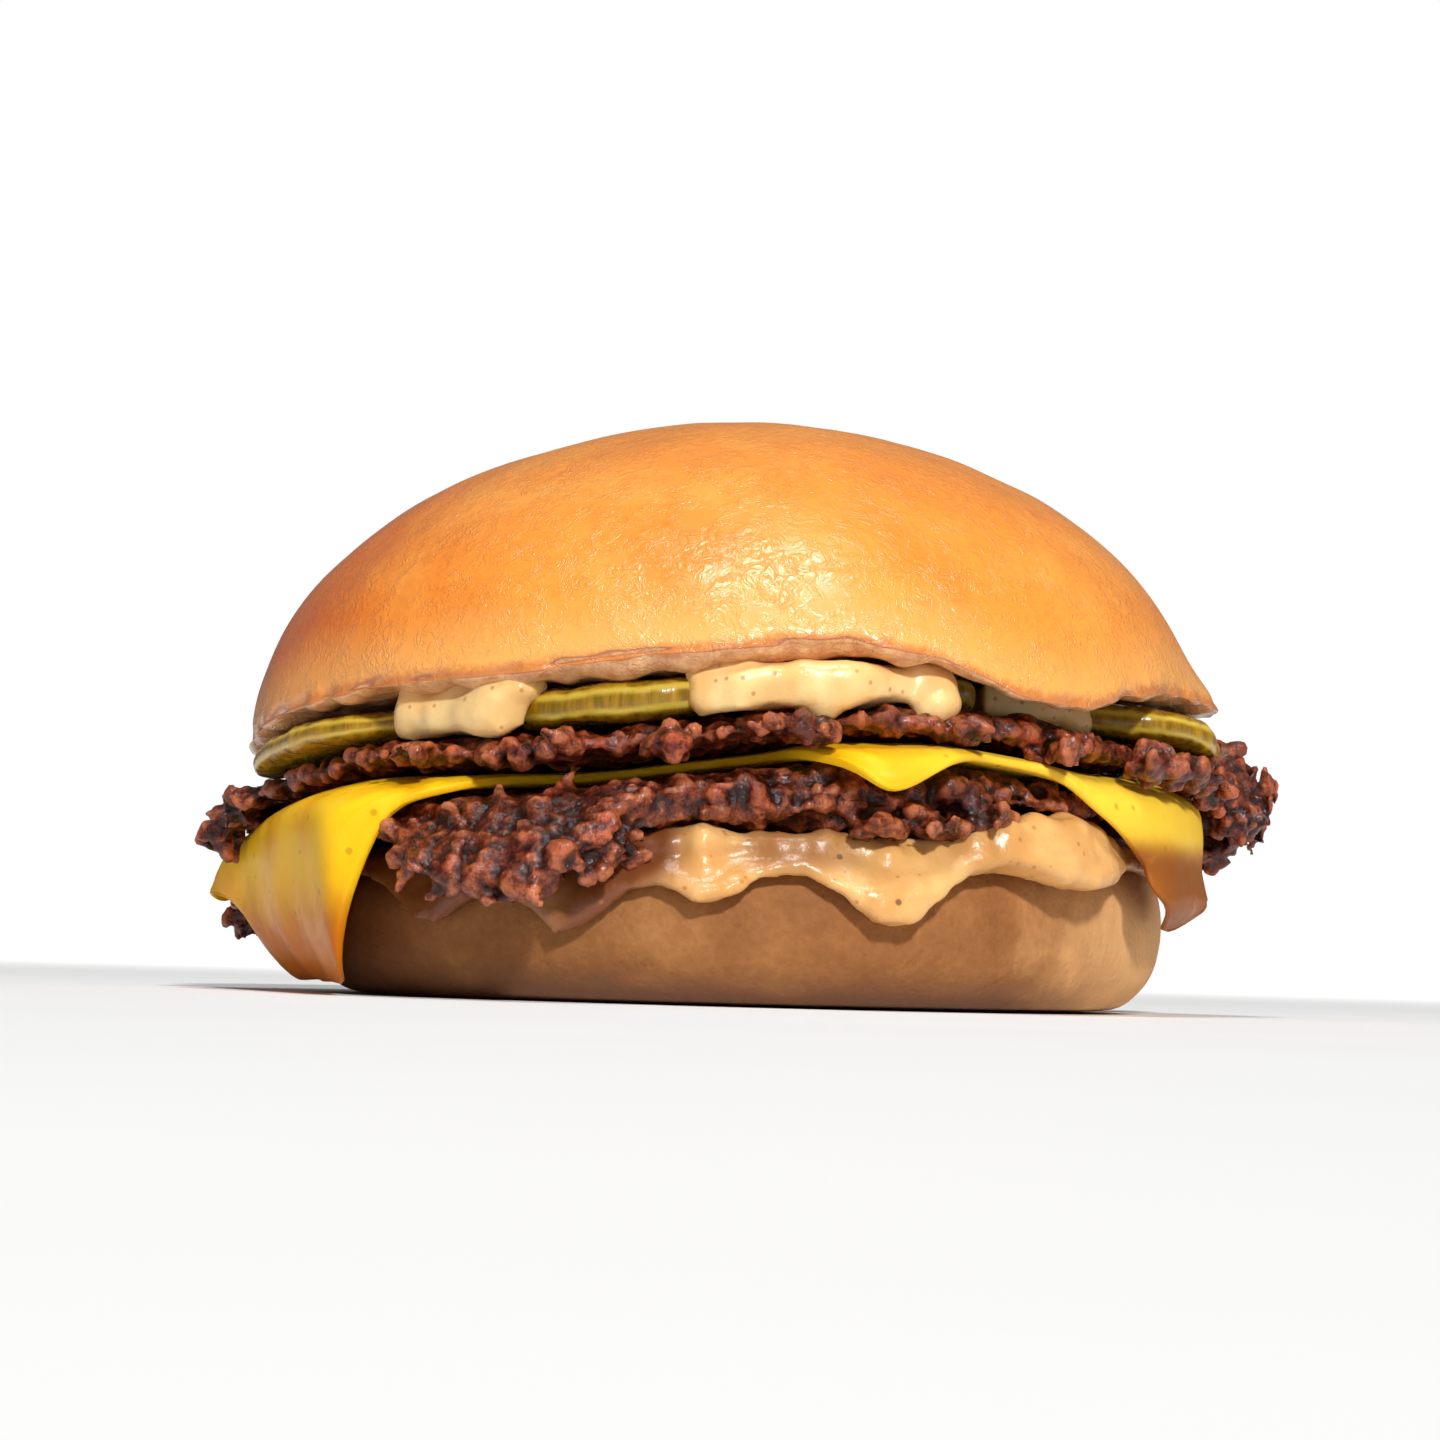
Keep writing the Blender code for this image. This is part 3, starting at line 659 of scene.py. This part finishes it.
upperSauce = {
    "node": "upper_sauce",
    "piece": "sauce_filling",
    "slot": "sauce_upper",
    "voxel": 0.5,
    "smooth": 12,
    "lumps": ((0.6, 5.0, 1.5), (0.12, 1.8, 6.5)),
    "bulbs": (
        (-114.5, 47.9, 30.9, 2.0, 1.0), (-118, 47.2, 30.4, 2.1, 1.0), (-131, 46.9, 28.6, 2.3, 1.2),
        (-92, 47.0, 30.8, 2.0, 1.2), (-78, 47.4, 30.2, 2.0, 1.2), (-63.5, 47.6, 30.4, 2.4, 1.15),
    ),
    "beads": (
        {"from": -93, "to": -62, "apart": 2.8, "out": 46.4, "height": 32.6, "radius": 1.7, "seed": 4},
        {"from": -133, "to": -113, "apart": 2.8, "out": 46.0, "height": 31.4, "radius": 1.6, "seed": 5},
    ),
    "finish": "cream_sauce",
    "tones": {"pale": (0.95, 0.65, 0.29), "deep": (0.88, 0.52, 0.19), "thin": (0.42, 0.15, 0.06)},
}


def burgerSauce(name, pale, deep, thin):
    look = Finish(name)
    patches = look.noise(6, rough=0.5, twist=0.3)
    tone = look.mixed(look.ranged(patches, 0.35, 0.65), deep, pale)
    # darker by the kept value: painted shade under the patty, with thin brownish sauce
    tone = look.mixed(look.ranged(look.kept("film"), 0.0, 1.0), tone, thin)
    tone = look.tinted(tone, look.ranged(look.cells(1.9), 0.17, 0.08), 0.6, sauce["specks"])
    tone = look.tinted(tone, look.ranged(look.cells(4.6), 0.09, 0.05), 0.75, sauce["bits"])
    normal = look.bumped(look.noise(1.4, detail=4, rough=0.6), 0.20, 0.6)
    look.fixed(
        Subsurface_Weight=0.3,
        Subsurface_Scale=0.003,
        Subsurface_Radius=(1.0, 0.55, 0.25),
        Coat_Weight=0.15,
        Coat_Roughness=0.2,
        Specular_IOR_Level=0.35,
    )
    return look.done(tone, look.ranged(patches, 0.3, 0.7, *sauce["roughness"]), normal)


def bulbAt(angle, out, height, radius, tall=1.0):
    turn = math.radians(angle)
    spot = burgerAxis + Vector((math.cos(turn) * out, math.sin(turn) * out, height)) * mm
    return Matrix.Translation(spot) @ Matrix.Diagonal((radius * mm, radius * mm, radius * tall * mm, 1.0))


def beadOf(bead):
    # a row of soft lumps where the sauce is squeezed out
    draw = random.Random(bead["seed"])
    angle = bead["from"]
    while angle < bead["to"]:
        radius = bead["radius"] * draw.uniform(0.85, 1.15)
        out = bead["out"] + draw.uniform(-0.3, 0.3)
        height = bead["height"] + draw.uniform(-0.3, 0.3)
        yield bulbAt(angle, out, height, radius)
        angle += bead["apart"]


def makeSauce(spec, film):
    piece = asPiece(nodeShape(spec["node"]), spec["piece"])
    places = [bulbAt(*bulb) for bulb in spec["bulbs"]]
    for bead in spec["beads"]:
        places += beadOf(bead)
    addBalls(piece.data, places, sauce["fineness"])
    fused(piece, spec["voxel"])
    smoothed(piece, spec["smooth"])

    def shapeIt(point, normal):
        return smoothStep(40, 44, radiusOf(point) / mm) * layered(point, spec["lumps"], sauce["full"])

    moved(piece, shapeIt)
    thinInside(piece, sauce["hidden"])
    keepValue(piece, "film", film)
    dressed(piece, burgerSauce(spec["finish"], **spec["tones"]), spec["node"])


def lowerFilm(point, normal):
    # painted shade under the patty, and thin brownish sauce, at the front left; thick and pale to the right
    film = lowerSauce["film"]
    angle = angleOf(point)
    stained = max(lump(angle, *stain) for stain in film["shadePatches"])
    between = smoothStep(*film["heights"], point.z / mm)
    for middle, width, share in film["drips"]:
        between *= 1 - share * lump(angle, middle, width)
    return min(1.0, stained + film["between"] * between)


def upperFilm(point, normal):
    return 0.0  # thick everywhere


# gherkins

gherkins = {
    "nodes": ("pickle_left", "pickle_front", "pickle_inner", "pickle_right", "pickle_back"),
    "levels": 3,
    "dents": (0.22, 5),  # height and width in mm
    "ribs": (0.10, 1.5),  # upright ones, on the cut edge
    "seed": 3.0,
    "roughness": (0.24, 0.36),
    "tones": {
        "flesh": ((0.3, (0.16, 0.083, 0.001)), (0.5, (0.34, 0.170, 0.002)), (0.7, (0.50, 0.275, 0.008))),
        "blotch": (0.20, 0.13, 0.004),
        "edge": (0.60, 0.42, 0.05),
    },
}


def gherkinFinish():
    look = Finish("gherkin")
    tones = gherkins["tones"]
    fibres = look.noise(1.0, rough=0.6, twist=0.2, coords=look.stretched((1.0, 1.0, 0.12)))
    tone = look.ramp(fibres, tones["flesh"])
    tone = look.tinted(tone, look.ranged(look.noise(5), 0.42, 0.66), 0.5, tones["blotch"])
    # the skin's edge is pale where it was sliced
    tone = look.mixed(look.kept("edge"), tone, tones["edge"])
    normal = look.bumped(look.noise(1.2, detail=2), 0.08, 0.5, look.bumped(fibres, 0.14, 0.7))
    look.fixed(
        Specular_IOR_Level=0.3,
        Coat_Weight=0.3,
        Coat_Roughness=0.1,
        Subsurface_Weight=0.12,
        Subsurface_Scale=0.002,
    )
    return look.done(tone, look.ranged(fibres, 0.3, 0.7, *gherkins["roughness"]), normal)


def makeGherkin(node, finish, seed):
    piece = rounded(asPiece(nodeShape(node), node + "_slice"), gherkins["levels"])
    dents, dentSize = gherkins["dents"]
    ribs, ribSize = gherkins["ribs"]

    def shapeIt(point, normal):
        upright = Vector((point.x, point.y, point.z * 0.1))
        return dents * noiseAt(point, dentSize, seed) + ribs * noiseAt(upright, ribSize, seed)

    def edge(point, normal):
        upright = 1 - abs(normal.z)
        return smoothStep(0.25, 0.45, upright) * (1 - smoothStep(0.6, 0.85, upright))

    moved(piece, shapeIt)
    keepValue(piece, "edge", edge)
    dressed(piece, finish, node)


# patties

mince = {
    "core": 0.9,  # how far the core shrinks back to leave room for the nuggets
    "nuggets": 2900,
    "size": (0.45, 1.45),
    "stretch": ((0.7, 1.5), (0.7, 1.2), (0.6, 1.0)),  # each nugget's shape
    "from": 39.0,  # nuggets only where they can be seen, this many mm from the axis on
    "hidden": 36.0,
    "laceSize": (0.5, 1.05),
    "laceBeads": (2, 4),
    "clumpSize": (0.6, 1.25),
    "voxel": 0.42,
    "seed": 11,
    "grain": ((0.5, 3.0, 14.0), (0.26, 1.2, 4.0), (0.14, 0.7, 9.0)),
    "roughness": (0.28, 0.5),
    "burnt": (0.30, 0.22, 0.22),
    "ruddy": (1.7, 1.0, 0.8),
}
# tones are those of the pits, of the slopes and of the tips; the dark pits are painted shade in the hollows
# lace is (middle, half its width in degrees, least distance from the axis, strings)
# clumps are (x, y, z, half their width, half their height, nuggets), in mm
lowerPatty = {
    "node": "lower_patty",
    "piece": "lower_patty_mince",
    "slot": "patty_lower",
    "seed": 1,
    "tones": ((0.028, 0.003, 0.001), (0.190, 0.033, 0.009), (0.50, 0.150, 0.056)),
    "lace": ((-113, 16, 50, 26), (165, 12, 52, 60)),
    "clumps": (
        (-17, -49.5, 14.2, 4.5, 2.6, 40), (-27, -45.5, 13.4, 3.5, 2.4, 26),
        (-12.5, -48.4, 15.4, 3.6, 2.2, 34), (12.5, -45.6, 18.2, 3.4, 1.2, 26),
        (18.5, -43.2, 18.6, 3.6, 1.3, 30), (24, -41, 19.4, 3.0, 1.4, 22),
    ),
}
upperPatty = {
    "node": "upper_patty",
    "piece": "upper_patty_mince",
    "slot": "patty_upper",
    "seed": 2,
    "tones": ((0.018, 0.002, 0.0006), (0.155, 0.023, 0.006), (0.45, 0.115, 0.040)),
    "lace": ((2, 17, 53, 160), (-178, 14, 51, 70), (112, 14, 50, 50)),
    "clumps": (
        (-18.1, -46.1, 25.5, 3.6, 1.3, 26), (5.5, -48.0, 27.3, 3.6, 1.3, 26),
        (20.8, -42.9, 27.5, 3.6, 1.3, 26), (-32.5, -38.6, 24.1, 3.6, 1.3, 26),
        (-7.0, -47.6, 25.6, 3.2, 1.4, 24), (31.5, -36.5, 26.6, 3.2, 1.4, 24),
        (51.5, -2, 27.2, 3.2, 3.4, 60), (55.8, -1, 24.2, 3.4, 3.2, 70), (51.5, 0, 19.6, 3.0, 3.6, 60),
        (42.0, -28.5, 25.8, 2.8, 1.7, 34), (45.0, -23.7, 25.6, 2.8, 1.8, 34),
        (47.4, -18.6, 25.3, 2.8, 2.0, 34), (49.4, -12.6, 24.8, 2.8, 2.4, 38), (51.0, -7, 24.2, 2.8, 3.0, 40),
    ),
}


def searedMince(name, pit, slope, tip):
    look = Finish(name)
    fine = look.noise(1.1, detail=5, rough=0.75)
    relief = look.wavering(look.kept("relief"), fine, 0.3, 0.25, 0.75)
    # darker in the pits and lighter on the tips: painted shade in the hollows
    tone = look.ramp(look.ranged(relief, -0.4, 0.7), ((0.12, pit), (0.5, slope), (1.0, tip)))
    burnt = look.ranged(look.noise(6.5, rough=0.6, twist=0.5), 0.48, 0.64)
    tone = look.tinted(tone, burnt, 0.8, look.shaded(tone, mince["burnt"]))
    ruddy = look.ranged(look.noise(4.2, rough=0.6), 0.52, 0.7)
    tone = look.tinted(tone, ruddy, 0.5, look.shaded(tone, mince["ruddy"]))
    normal = look.bumped(look.noise(1.0, detail=4, rough=0.65, twist=0.8), 0.32)
    look.fixed(Coat_Weight=0.6, Coat_Roughness=0.12, Specular_IOR_Level=0.15)
    return look.done(tone, look.ranged(look.noise(2.0, detail=2), 0.35, 0.65, *mince["roughness"]), normal)


def outerPoints(mesh, draw):
    # random points on the outer faces, evenly by area
    faces = [face for face in mesh.polygons if radiusOf(face.center) / mm > mince["from"]]
    weights = [face.area for face in faces]
    for face in draw.choices(faces, weights, k=mince["nuggets"]):
        corners = [mesh.vertices[i].co for i in face.vertices]
        shares = [draw.random() for _ in corners]
        total = sum(shares)
        spot = sum((corner * (share / total) for corner, share in zip(corners, shares)), Vector())
        yield spot, face.normal.copy()


def astray(draw, sideways, upright, drop=0.0):
    return Vector((draw.gauss(0, sideways), draw.gauss(0, sideways), draw.gauss(-drop, upright)))


def nugget(spot, size, draw):
    stretch = Matrix.Diagonal([draw.uniform(*span) for span in mince["stretch"]] + [1.0])
    turn = astray(draw, 1, 1).to_track_quat("Z", "Y").to_matrix()
    return Matrix.Translation(spot) @ turn.to_4x4() @ stretch @ Matrix.Scale(size * mm, 4)


def outerNuggets(surface, seed, draw):
    for spot, normal in outerPoints(surface, draw):
        # coarser in patches, so that the edge is ragged and not evenly beaded
        coarse = 0.75 + 0.55 * smoothStep(-0.5, 0.7, noiseAt(spot, 6.0, seed))
        size = draw.uniform(*mince["size"]) * coarse * (1 - 0.3 * abs(normal.z))
        sunk = size * draw.uniform(0.55, 1.2) + 0.35 * abs(normal.z)
        yield nugget(spot - normal * sunk * mm, size, draw)


def laceNuggets(surface, lace, draw):
    # crisp lace: short strings of beads that stick out of the thin edges
    for middle, spread, rim, count in lace:
        edge = [
            vert.co
            for vert in surface.vertices
            if abs(turnFrom(angleOf(vert.co), middle)) < spread and radiusOf(vert.co) / mm > rim
        ]
        for _ in range(count if edge else 0):
            spot = draw.choice(edge).copy()
            out = outwardAt(spot)
            heading = (out + astray(draw, 0.5, 0.55, 0.1)).normalized()
            spot -= out * draw.uniform(0.6, 2.4) * mm
            for bead in range(draw.randint(*mince["laceBeads"])):
                size = draw.uniform(*mince["laceSize"]) * (1 - 0.12 * bead)
                spot += heading * size * 1.15 * mm
                heading = (heading + astray(draw, 0.4, 0.4)).normalized()
                yield nugget(spot, size, draw)


def clumpNuggets(clumps, draw):
    for x, y, z, wide, tall, count in clumps:
        for _ in range(count):
            away = astray(draw, 0.5, 0.5)
            if away.length > 1:
                away.normalize()
            spot = Vector((x + away.x * wide, y + away.y * wide, z + away.z * tall)) * mm
            yield nugget(spot, draw.uniform(*mince["clumpSize"]), draw)


def makePatty(spec):
    draw = random.Random(mince["seed"] + spec["seed"])
    piece = asPiece(nodeShape(spec["node"]), spec["piece"])
    surface = piece.data.copy()  # as it is before the core shrinks

    def shrink(point, normal):
        outer = -mince["core"] * smoothStep(36, 42, radiusOf(point) / mm)
        return outer * smoothStep(0.0, 0.6, 1.3 - abs(normal.z))

    def shapeIt(point, normal):
        return smoothStep(34, 38, radiusOf(point) / mm) * layered(point, mince["grain"])

    moved(piece, shrink)
    places = list(outerNuggets(surface, spec["seed"], draw))
    places += laceNuggets(surface, spec["lace"], draw)
    places += clumpNuggets(spec["clumps"], draw)
    addBalls(piece.data, places)
    bpy.data.meshes.remove(surface)
    fused(piece, mince["voxel"])
    smoothed(piece, 2, 0.4)
    moved(piece, shapeIt)
    thinInside(piece, mince["hidden"])
    keepRelief(piece, 14)
    dressed(piece, searedMince(spec["piece"] + "_sear", *spec["tones"]), spec["node"])


# build

makeCrown()
report("top bun")
makeHeel()
report("bottom bun")
makeCheese()
report("cheese")
makeSauce(lowerSauce, lowerFilm)
makeSauce(upperSauce, upperFilm)
report("sauces")
gherkinLook = gherkinFinish()
for number, node in enumerate(gherkins["nodes"]):
    makeGherkin(node, gherkinLook, gherkins["seed"] + number)
report("gherkins")
makePatty(lowerPatty)
makePatty(upperPatty)
report("patties")


# floor, light and camera

# directions point from the burger to the lamp, and lengths are in metres
studio = {
    "key": {"from": (0.22, -0.80, 0.52), "strength": 2.75, "soft": 5},
    "top": {"from": (0.04, -0.31, 0.93), "away": 0.70, "size": 0.19, "power": 2.3},
    "fill": {"from": (-0.60, -0.75, 0.30), "away": 1.1, "size": 0.9, "power": 0.35},
    "aim": 0.03,  # the height that the lamps point at
    "sky": 0.16,
    "floor": {"size": 12.0, "roughness": 0.7, "glow": 0.5, "glowFrom": 0.15, "glowTo": 0.9},
    "camera": {"away": 0.430, "height": 0.004, "tilt": 93.6, "lean": 1.6, "sensor": 36.0, "lens": 97.775},
}


def makeFloor():
    spec = studio["floor"]
    shape = bmesh.new()
    bmesh.ops.create_grid(shape, x_segments=1, y_segments=1, size=spec["size"])
    floor = asPiece(shape, "floor")
    look = Finish("pale_floor")
    tone = look.ramp(look.noise(60, detail=2), ((0.3, (0.88, 0.88, 0.875)), (0.7, (0.90, 0.90, 0.895))))
    # away from the burger the floor glows, painted light that brightens it into the backdrop
    spread = look.node("ShaderNodeVectorMath", operation="LENGTH")
    look.link(look.coords, spread.inputs[0])
    glow = look.ranged(spread.outputs["Value"], spec["glowFrom"], spec["glowTo"], 0.0, spec["glow"])
    look.fixed(Emission_Color=(1.0, 1.0, 1.0, 1.0))
    look.link(glow, look.shader.inputs["Emission Strength"])
    floor.data.materials.append(look.done(tone, spec["roughness"]))


def makeLight(name, spec):
    sun = "strength" in spec
    lamp = bpy.data.lights.new(name, "SUN" if sun else "AREA")
    if sun:
        lamp.energy = spec["strength"]
        lamp.angle = math.radians(spec["soft"])
    else:
        lamp.shape = "DISK"
        lamp.size = spec["size"]
        lamp.energy = spec["power"]
    light = bpy.data.objects.new(name, lamp)
    bpy.context.scene.collection.objects.link(light)
    away = Vector(spec["from"]).normalized()
    light.location = away * spec.get("away", 1.0) + Vector((0, 0, studio["aim"]))
    light.rotation_euler = away.to_track_quat("Z", "Y").to_euler()


def makeSky():
    world = bpy.data.worlds.new("studio")
    bpy.context.scene.world = world
    world.use_nodes = True
    tree = world.node_tree
    backdrop = tree.nodes["Background"]
    backdrop.inputs["Color"].default_value = (1.0, 1.0, 1.0, 1.0)
    # the backdrop shows white, and lights the burger only softly
    rays = tree.nodes.new("ShaderNodeLightPath")
    level = tree.nodes.new("ShaderNodeMapRange")
    level.inputs["To Min"].default_value = studio["sky"]
    level.inputs["To Max"].default_value = 1.0
    tree.links.new(rays.outputs["Is Camera Ray"], level.inputs["Value"])
    tree.links.new(level.outputs["Result"], backdrop.inputs["Strength"])


def makeCamera():
    spec = studio["camera"]
    data = bpy.data.cameras.new("camera")
    data.sensor_width = spec["sensor"]
    data.lens = spec["lens"]
    data.clip_start = 0.01
    camera = bpy.data.objects.new("camera", data)
    bpy.context.scene.collection.objects.link(camera)
    place = Matrix.Translation(burgerAxis + Vector((0, -spec["away"], spec["height"])))
    tilt = Matrix.Rotation(math.radians(spec["tilt"]), 4, "X")
    lean = Matrix.Rotation(math.radians(spec["lean"]), 4, "Z")
    camera.matrix_world = place @ tilt @ lean
    bpy.context.scene.camera = camera


makeFloor()
for name in ("key", "top", "fill"):
    makeLight(name, studio[name])
makeSky()
makeCamera()
bpy.context.scene.view_settings.view_transform = "Standard"
report("studio")
